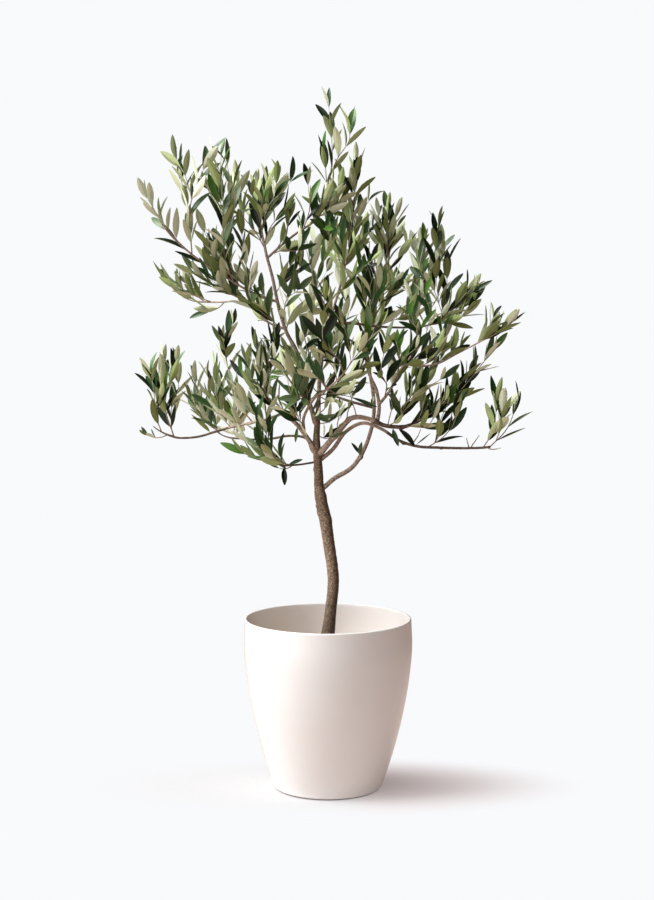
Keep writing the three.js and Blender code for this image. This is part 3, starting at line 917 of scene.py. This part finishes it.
def places_to_grow(space, foot, rng):
    """Places in a space, each with the way that a shoot grows there."""
    far = max((Vector(p) for p in space.points), key=lambda p: (p - foot).length)
    axis = (far - foot).normalized()
    side_room = min(SIDE_ROOM, SIDE_SHARE * (space.high - space.low).min())
    found = []
    for _ in range(SAMPLES):
        place = Vector([rng.uniform(low, high) for low, high in zip(space.low, space.high)])
        out = Vector((place.x, place.y, 0)) * OUTWARD
        stray = Vector([rng.gauss(0, WAY_STRAY) for _ in range(3)])
        way = (axis * space.lean + UP * RISE + out + stray).normalized()
        ahead = place + way * space.tip_room * TIP_SHARE
        if space.depth(place) > side_room and space.depth(ahead) > -TIP_OUT:
            found.append((place, way))
    return found


def start_cost(node, goal, way):
    line = goal - node[0]
    ahead = line.normalized()
    turned = TURN_COST * (1 - ahead.dot(way)) + FORK_COST * (1 - ahead.dot(node[1]))
    return abs(line.length - USUAL_SHOOT) + turned


def take_start(nodes, goal, way, shortest):
    """The best node to grow from. Those close to it are taken away with it."""
    fit = [node for node in nodes if (goal - node[0]).length > shortest]
    if not fit:
        return None
    best = min(fit, key=lambda node: start_cost(node, goal, way))
    for crowded in [node for node in nodes if (node[0] - best[0]).length < SHOOTS_APART]:
        nodes.remove(crowded)
        if crowded in bearing_nodes:
            bearing_nodes.remove(crowded)
    return best


def make_shoot(path, start_radius, tone_weights, rng):
    """Adds a shoot's wood and leaves, and gives its radii, its leafed length and its leafed places."""
    length = sum((b - a).length for a, b in zip(path, path[1:]))
    thick = min(start_radius * SHOOT_FOOT_MOST, SHOOT_FOOT + SHOOT_FOOT_MORE * length)
    radii = tapered(thick, SHOOT_TIP, len(path), SHOOT_TAPER)
    twigs.append((path, radii))
    bare = min(BARE_MOST * length, BARE + BARE_MORE * length)
    lay_leaves(path, bare, tone_weights, rng)
    return radii, length - bare, path[max(1, round(bare / SHOOT_STEP)) :]


def grow(space, bough, room, tone_weights, rng):
    """Shoots one after another, each through the place that is farthest from all earlier ones."""
    nodes = [node for node in bearing_nodes if space.depth(node[0]) > -space.reach]
    deepest = int(np.argmax([space.depth(Vector(place)) for place in bough.path]))
    foot = Vector(bough.path[deepest])
    if not nodes:
        nodes.append((foot, Vector(bough.along[deepest]), ROOTLESS))
    candidates = places_to_grow(space, foot, rng)
    covered = [place for place in leafed_places if space.depth(place) > -room]
    covered.append(foot)
    leafed, budget = 0.0, space.volume / (math.pi * room**2)
    while leafed < budget and candidates:
        goal, way = max(candidates, key=lambda c: min((c[0] - p).length for p in covered))
        if min((goal - p).length for p in covered) < CLOSEST * room:
            break
        candidates = [c for c in candidates if (c[0] - goal).length > PLACES_APART]
        node = take_start(nodes, goal, way, space.shortest)
        if node is None:
            continue
        tip = goal
        while space.depth(tip + way * (space.tip_room + SHOOT_STEP)) > 0:
            tip = tip + way * SHOOT_STEP
        path = shoot_path(node[0], node[1], goal, tip, rng)
        radii, length, clad = make_shoot(path, node[2], tone_weights, rng)
        leafed += length
        covered.extend(clad)
        leafed_places.extend(clad)
        for i in range(2, len(path) - 3):
            node = (path[i], (path[i + 1] - path[i - 1]).normalized(), radii[i])
            nodes.append(node)
            bearing_nodes.append(node)


for name, (bough_name, room, tone_weights) in MASSES.items():
    grow(Space(name), limbs[bough_name], room, tone_weights, random.Random(f"{SEED}:{name}"))
for first, second, share, radius, room, tone_weights in GAPS:
    rng = random.Random(f"{SEED}:{first}:{second}:{share}")
    grow(Gap(first, second, share, radius), limbs[MASSES[first][0]], room, tone_weights, rng)

# limb, share of its length, way of the leaf, its size and tone
LONE_LEAVES = [
    ("elbow_bough", 0.4, (-0.5, -0.5, 0.8), 0.58, "deep"),
    ("elbow_bough", 0.38, (0.1, -0.4, 0.9), 0.54, "silver"),
    ("elbow_bough", 0.92, (-1, -0.35, 0.05), 1.1, "deep"),
    ("fork_left_bough", 0.4, (-0.1, -0.5, -1), 0.6, "fresh"),
    ("fork_left_bough", 0.24, (-0.4, -0.7, 0.8), 0.8, "silver"),
    ("fork_left_bough", 0.5, (0.35, -0.7, 0.7), 0.8, "sage"),
    ("upright_bough", 0.12, (0.5, -0.6, 0.8), 0.7, "sage"),
    ("upper_left_bough", 0.58, (-0.9, -0.1, 0.45), 1.1, "deep"),
    ("upper_left_bough", 0.74, (-0.85, -0.1, 0.5), 1.15, "deep"),
    ("long_left_bough", 0.49, (-0.7, -0.6, 0.6), 1.2, "silver"),
    ("long_left_bough", 0.56, (-0.6, -0.7, 0.65), 1.15, "deep"),
    ("arch_bough", 0.74, (0.7, -0.3, -0.5), 0.85, "deep"),
    ("arch_bough", 0.7, (0.2, -0.5, -0.8), 0.7, "olive"),
    ("low_right_bough", 0.62, (0.75, -0.3, 0.55), 0.7, "olive"),
    ("low_left_bough", 0.97, (-0.85, -0.35, 0.3), 0.5, "deep"),
    ("low_left_bough", 0.95, (-0.05, -0.3, -1), 0.68, "deep"),
    ("low_left_bough", 0.88, (0.85, -0.35, 0.35), 0.62, "olive"),
]
# limb, share of its length, way of the twig, its length, size of its leaves or 0, and their tone
LONE_TWIGS = [
    ("low_left_bough", 0.7, (-0.9, -0.1, -0.3), 0.024, 0.5, "olive"),
    ("long_left_bough", 0.88, (-1, -0.1, -0.15), 0.034, 0.4, "sage"),
    ("left_strand_bough", 0.62, (-0.6, -0.2, -0.5), 0.030, 0.9, "sage"),
    ("arch_bough", 0.24, (0.15, -0.3, 0.9), 0.034, 0.40, "sage"),
    ("arch_bough", 0.34, (0.3, -0.2, 0.9), 0.036, 0.42, "olive"),
    ("arch_bough", 0.42, (-0.3, -0.4, 0.8), 0.034, 0.38, "silver"),
    ("arch_bough", 0.54, (-0.1, -0.4, 0.8), 0.028, 0.38, "silver"),
    ("arch_bough", 0.66, (0.2, -0.3, 0.9), 0.040, 0.46, "olive"),
    ("leader_bough", 0.03, (0.5, -0.6, 0.5), 0.032, 0.45, "sage"),
    ("leader_bough", 0.06, (-0.4, -0.7, 0.5), 0.030, 0.5, "silver"),
    ("upright_bough", 0.06, (-0.3, -0.6, 0.6), 0.030, 0.6, "sage"),
    ("trunk", 0.86, (0.7, -0.6, -0.2), 0.024, 0.8, "silver"),
    ("trunk", 0.91, (0.8, -0.5, 0.2), 0.034, 0.75, "sage"),
    ("trunk", 0.95, (0.5, -0.7, 0.5), 0.036, 0.8, "olive"),
    ("trunk", 0.98, (0.8, -0.3, 0.6), 0.045, 0.7, "silver"),
    ("leader_bough", 0.05, (0.9, -0.3, 0.2), 0.040, 0.75, "sage"),
    ("front_bough", 0.3, (0.3, -0.5, -0.6), 0.026, 0.8, "silver"),
    ("front_bough", 0.45, (0.6, -0.4, -0.3), 0.030, 0.8, "olive"),
    ("front_bough", 0.6, (0.7, -0.2, -0.4), 0.030, 0.75, "sage"),
    ("low_right_bough", 0.6, (0.5, -0.2, 0.8), 0.026, 0, "olive"),
    ("low_right_bough", 0.89, (-0.3, 0, 0.9), 0.014, 0, "olive"),
    ("low_right_bough", 0.9, (0.6, 0, 0.7), 0.022, 0, "olive"),
    ("low_right_bough", 0.985, (1, -0.2, -0.1), 0.024, 0, "deep"),
]
LONE_TWIG_RADII = (0.0011, 0.0007)
LONE_TWIG_PIN, LONE_TWIG_RISE = 0.6, 0.15  # shares of its length
LONE_TWIG_NARROW = 0.3
LONE_LEAF_FOOT = 0.8  # share of the limb's radius at which a leaf starts


def dress_limbs():
    """The few leaves and short twigs that stand on the bare stretches of limbs."""
    rng = random.Random(f"{SEED}:bare limbs")

    def root(limb, share, way):
        index = min(round(share * (len(limb.path) - 1)), len(limb.path) - 2)
        ahead, along = Vector(way).normalized(), Vector(limb.along[index])
        off = (ahead - along * ahead.dot(along)).normalized() * float(limb.radii[index])
        return Vector(limb.path[index]), off, ahead

    for name, share, way, size, tone in LONE_LEAVES:
        centre, off, ahead = root(limbs[name], share, way)
        add_leaf(centre + off * LONE_LEAF_FOOT, ahead, UP + FRONT, size, tone, rng)
    for name, share, way, length, size, tone in LONE_TWIGS:
        centre, off, ahead = root(limbs[name], share, way)
        tip = centre + off + ahead * length + UP * LONE_TWIG_RISE * length
        through = centre + off + ahead * length * LONE_TWIG_PIN
        path = shoot_path(centre, off.normalized(), through, tip, rng)
        twigs.append((path, tapered(*LONE_TWIG_RADII, len(path))))
        if size:
            end = (path[-1] - path[-2]).normalized()
            for place in (path[len(path) // 2], path[-1]):
                leaf_pair(place, end, rng.uniform(0, math.pi), size, tone, rng, LONE_TWIG_NARROW)


dress_limbs()

# ---- leaves and twigs as pieces ----

LEAF_CREASE = math.radians(60)  # sharper edges aren't smoothed
leaf_face_list, leaf_face_materials = leaf_faces()
for tone, leaves in leaves_by_tone.items():
    upper, under, rib = LEAF_TONES[tone]
    materials = [
        plain_material(f"leaf_{tone}_upper", upper, 0.38, 0.3, coat=0.1),
        plain_material(f"leaf_{tone}_under", under, 0.75, 0.15),
        plain_material(f"leaf_{tone}_rib", rib, 0.7, 0.15),
    ]
    for start in range(0, len(leaves), LEAF_LIMIT):
        batch = leaves[start : start + LEAF_LIMIT]
        shaped = leaf_points(batch)
        offsets = np.arange(len(batch))[:, None, None] * shaped.shape[1]
        faces = (leaf_face_list[None] + offsets).reshape(-1, 4)
        face_materials = np.tile(leaf_face_materials, len(batch))
        name = f"leaves_{tone}_{start // LEAF_LIMIT + 1}"
        shape = (name, shaped.reshape(-1, 3), faces.tolist())
        piece = make_piece(*shape, materials, "foliage", face_materials, LEAF_CREASE)
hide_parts(*(node for node, slot in slots.items() if slot == "foliage"))

TWIG_SIDES = 6
SOFT_SHARE = 0.45  # of a shoot, from its tip back, that is still green
woody, soft = Heap(), Heap()
for path, radii in twigs:
    points = np.array(path)
    split = max(2, round(len(path) * (1 - SOFT_SHARE)))
    woody.add(*tube(points[: split + 1], radii[: split + 1], TWIG_SIDES))
    if len(path) - split > 1:
        soft.add(*tube(points[split:], radii[split:], TWIG_SIDES))
twig_tone = plain_material("twig", (0.36, 0.25, 0.185), 0.8, 0.3)
soft_tone = plain_material("young_shoot", (0.52, 0.52, 0.35), 0.7, 0.3)
woody.piece("twigs_woody", twig_tone, "bark")
soft.piece("twigs_young", soft_tone, "foliage")

# ---- planter ----

POT_SIDES = 144
POT_STEP = 0.006
POT_CORNER = 0.0045
FOOT_HEIGHT, FOOT_RECESS = 0.0020, 0.007  # the low ring that it stands on, set back under its edge
LIP_STEPS = 8
CORNER_STEPS = 6
FOOT_FACETS = 0.004  # the solid's own foot, up to here, isn't followed
FLOOR_MORE = 0.0005  # how much thicker the planter's floor is than its wall
WELL = ((0.002, 0.002), (0.006, 0))  # the edge of that floor: in from the wall, and up


def pot_profile():
    """The planter's outside, by radius and height, its lip's height and its wall's thickness.

    The outside bulges all the way up, so it is the hull of the solid's points.
    """
    flat = sorted({(round(z, 5), round(math.hypot(x, y), 5)) for x, y, z in solid_points("pot")})
    top = flat[-1][0]
    corners = [(top, 0), *flat]  # height and radius, and the middle of the mouth
    hull = sorted(corners[i] for i in convex_hull_2d([(r, z) for z, r in corners]))
    outside = [(r, z) for z, r in hull if FOOT_FACETS < z < top]
    lip_height = outside[-1][1]
    lip_inner = min(r for z, r in flat if z == lip_height)
    return outside, lip_height, outside[-1][0] - lip_inner


def lathe(profile, sides):
    """A closed body turned about the Z axis from a profile that starts and ends on it."""
    angles = np.arange(sides) * 2 * math.pi / sides
    rings = profile[1:-1]
    points = [(r * math.cos(a), r * math.sin(a), z) for r, z in rings for a in angles]
    points += [(0, 0, profile[0][1]), (0, 0, profile[-1][1])]
    return np.array(points), closed_faces(len(rings), sides)


def make_planter():
    outline, lip_height, wall = pot_profile()
    lip_outer, corner, low = outline[-1][0], POT_CORNER, FOOT_HEIGHT
    curve, _ = smooth_curve([(r, 0, z) for r, z in outline], POT_STEP)
    slope = (curve[1] - curve[0]) / (curve[1, 2] - curve[0, 2])
    start = curve[0] + slope * (low + corner - curve[0, 2])
    outside = [(start[0], low + corner)]
    outside += [(r, z) for r, _, z in curve if z > low + corner + POT_STEP / 2]
    ring = start[0] - corner - FOOT_RECESS
    rounding = [(ring, 0), (ring, low)]
    for i in range(CORNER_STEPS + 1):
        turn = math.pi / 2 * i / CORNER_STEPS
        out, up = corner * math.sin(turn), corner - corner * math.cos(turn)
        rounding.append((start[0] - corner + out, low + up))
    lip = []
    middle = lip_outer - wall / 2
    for i in range(1, LIP_STEPS):
        turn = math.pi * i / LIP_STEPS
        lip.append((middle + wall / 2 * math.cos(turn), lip_height + wall / 2 * math.sin(turn)))
    inside = [(r - wall, z) for r, z in reversed(outside) if z > 2 * corner]
    floor_height = wall + FLOOR_MORE
    well = [(inside[-1][0] - inward, floor_height + up) for inward, up in WELL]
    profile = [(0, 0)] + rounding + outside[1:] + lip + inside + well + [(0, floor_height)]
    points, faces = lathe(profile, POT_SIDES)
    piece = make_piece("planter_shell", points, faces, [planter_material()], "planter")
    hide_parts("pot")


make_planter()

# ---- compost ----

SOIL_RINGS, SOIL_SIDES = 46, 120
SOIL_SKIN = 0.02  # depth of the piece, which is only the top of the compost
SOIL_TUCK = 0.0004  # how much wider it is than its solid, whose facets stand inside the curve
SOIL_SETTLED = 0.001  # how far its middle height is under the solid's top
SOIL_WAVES = ((0.0035, 24), (0.0022, 90), (0.0012, 260))  # height, and fineness in a metre
CRUMBS = 900
CRUMB_MARGIN = 0.006  # from the wall
CRUMB_TURN, CRUMB_LIFT = 6.3, 0.3  # most radians, and share of its half height
CRUMB_HALF_SIZES = ((0.0012, 0.0046), (0.0010, 0.0026), (0.0008, 0.0018))


def soil_height(x, y, top):
    place = Vector((x, y, 0))
    return top - SOIL_SETTLED + sum(high * noise.noise(place * fine) for high, fine in SOIL_WAVES)


def make_compost():
    _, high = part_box("soil")
    radius, top = high.x + SOIL_TUCK, high.z
    rings = [(radius * i / SOIL_RINGS, top) for i in range(SOIL_RINGS, 0, -1)]
    bottom = [(0, top - SOIL_SKIN), (radius, top - SOIL_SKIN)]
    points, faces = lathe([*bottom, *rings, (0, top)], SOIL_SIDES)
    for point in points:
        if point[2] == top:
            point[2] = soil_height(point[0], point[1], top)
    heap = Heap()
    heap.add(points, faces)
    rng = random.Random(f"{SEED}:compost")
    corners = [Vector(v) for v in ((1, 0, 0), (-1, 0, 0), (0, 1, 0), (0, -1, 0), (0, 0, 1), (0, 0, -1))]
    sides = [(0, 2, 4), (2, 1, 4), (1, 3, 4), (3, 0, 4), (2, 0, 5), (1, 2, 5), (3, 1, 5), (0, 3, 5)]
    for _ in range(CRUMBS):
        r, a = (radius - CRUMB_MARGIN) * math.sqrt(rng.random()), rng.uniform(0, 2 * math.pi)
        x, y = r * math.cos(a), r * math.sin(a)
        angle = rng.uniform(0, CRUMB_TURN)
        axis = Vector([rng.gauss(0, 1) for _ in range(3)]).normalized()
        turn = Matrix.Rotation(angle, 3, axis)
        size = Vector([rng.uniform(*span) for span in CRUMB_HALF_SIZES])
        place = Vector((x, y, soil_height(x, y, top) + size.z * CRUMB_LIFT))
        heap.add([place + turn @ (corner * size) for corner in corners], sides)
    piece = heap.piece("compost_surface", compost_material(), "compost")
    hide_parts("soil")


make_compost()

# ---- stage ----


def make_floor():
    """The glow that the camera sees fades into the backdrop; the plant gets a warm glow back from it."""
    foot = max(math.hypot(x, y) for x, y, z in solid_points("pot") if z < 0.0005)
    angles = np.linspace(0, 2 * math.pi, FLOOR_SIDES, endpoint=False)
    mesh = bpy.data.meshes.new("floor")
    points = [(FLOOR_RADIUS * math.cos(a), FLOOR_RADIUS * math.sin(a), 0) for a in angles]
    mesh.from_pydata(points, [], [tuple(range(FLOOR_SIDES))])
    floor = bpy.data.objects.new("floor", mesh)
    bpy.context.scene.collection.objects.link(floor)
    material, shader = new_material("floor")
    mesh.materials.append(material)
    feed(shader, {"Base Color": (*FLOOR_COLOUR, 1), "Roughness": 0.9})
    weave = Weave(material)
    off = weave.length(weave.place)
    oval = weave.length(weave.stretched(FLOOR_OVAL))
    fade = weave.eased(oval, FLOOR_LIT_RADIUS, FLOOR_CLEAR_RADIUS, FLOOR_BASE_GLOW)
    # a painted warm tint of the planter's shadow, on its shaded right side
    shaded = weave.eased(weave.part(weave.place, "X"), 0.0, FLOOR_WARM_FROM)
    near = weave.mixed(shaded, (*BACKDROP, 1), (*FLOOR_WARM, 1))
    seen = weave.mixed(fade, near, (*BACKDROP, 1))
    given = weave.mixed(weave.eased(off, *FLOOR_GLOW_REACH), (*FLOOR_GLOW, 1), (*FLOOR_FAR_GLOW, 1))
    from_camera = weave.node("LightPath").outputs["Is Camera Ray"]
    glow = weave.node("Emission", {"Color": weave.mixed(from_camera, given, seen)})
    clear = weave.eased(off, foot, foot + FLOOR_CREVICE)  # nothing glows under the planter, nor in the ring of painted contact shade round its foot
    share = weave.node("Math", {0: fade, 1: clear}, operation="MULTIPLY").outputs["Value"]
    mix = weave.node("MixShader", {0: share, 1: shader.outputs["BSDF"], 2: glow.outputs["Emission"]})
    feed(material.node_tree.nodes["Material Output"], {"Surface": mix.outputs["Shader"]})


def make_world():
    """A room, bright at the left and overhead, dim and warm elsewhere; the camera sees the backdrop."""
    world = bpy.data.worlds.new("studio")
    bpy.context.scene.world = world
    world.use_nodes = True
    world.node_tree.nodes.clear()
    weave = Weave(world)

    def background(colour, strength):
        made = weave.node("Background", {"Color": (*colour, 1), "Strength": strength})
        return made.outputs["Background"]

    aim = {0: weave.way, 1: Vector(ROOM_WINDOW).normalized()}
    toward = weave.node("VectorMath", aim, operation="DOT_PRODUCT").outputs["Value"]
    window = background(ROOM_BRIGHT_COLOUR, weave.eased(toward, ROOM_FADE, 1.0, 0.0, ROOM_BRIGHT))
    dim = background(ROOM_DIM_COLOUR, ROOM_DIM)
    room = weave.node("AddShader", {0: window, 1: dim}).outputs["Shader"]
    from_camera = weave.node("LightPath").outputs["Is Camera Ray"]
    mix = weave.node("MixShader", {0: from_camera, 1: room, 2: background(BACKDROP, 1.0)})
    weave.node("OutputWorld", {"Surface": mix.outputs["Shader"]})


def make_key():
    light = bpy.data.lights.new("key", "AREA")
    light.shape = "RECTANGLE"
    light.size, light.size_y = KEY_SIZE
    light.energy = KEY_WATTS
    light.color = KEY_COLOUR
    lamp = bpy.data.objects.new("key", light)
    lamp.location = KEY_PLACE
    lamp.rotation_euler = (Vector(KEY_TARGET) - Vector(KEY_PLACE)).to_track_quat("-Z", "Y").to_euler()
    bpy.context.scene.collection.objects.link(lamp)


def make_camera():
    camera = bpy.data.objects.new("camera", bpy.data.cameras.new("camera"))
    camera.location = CAMERA_PLACE
    camera.rotation_euler = (math.pi / 2 - CAMERA_TILT, 0, 0)
    camera.data.lens = CAMERA_LENS
    bpy.context.scene.collection.objects.link(camera)
    bpy.context.scene.camera = camera


make_floor()
make_world()
make_key()
make_camera()
bpy.context.scene.view_settings.view_transform = "Standard"
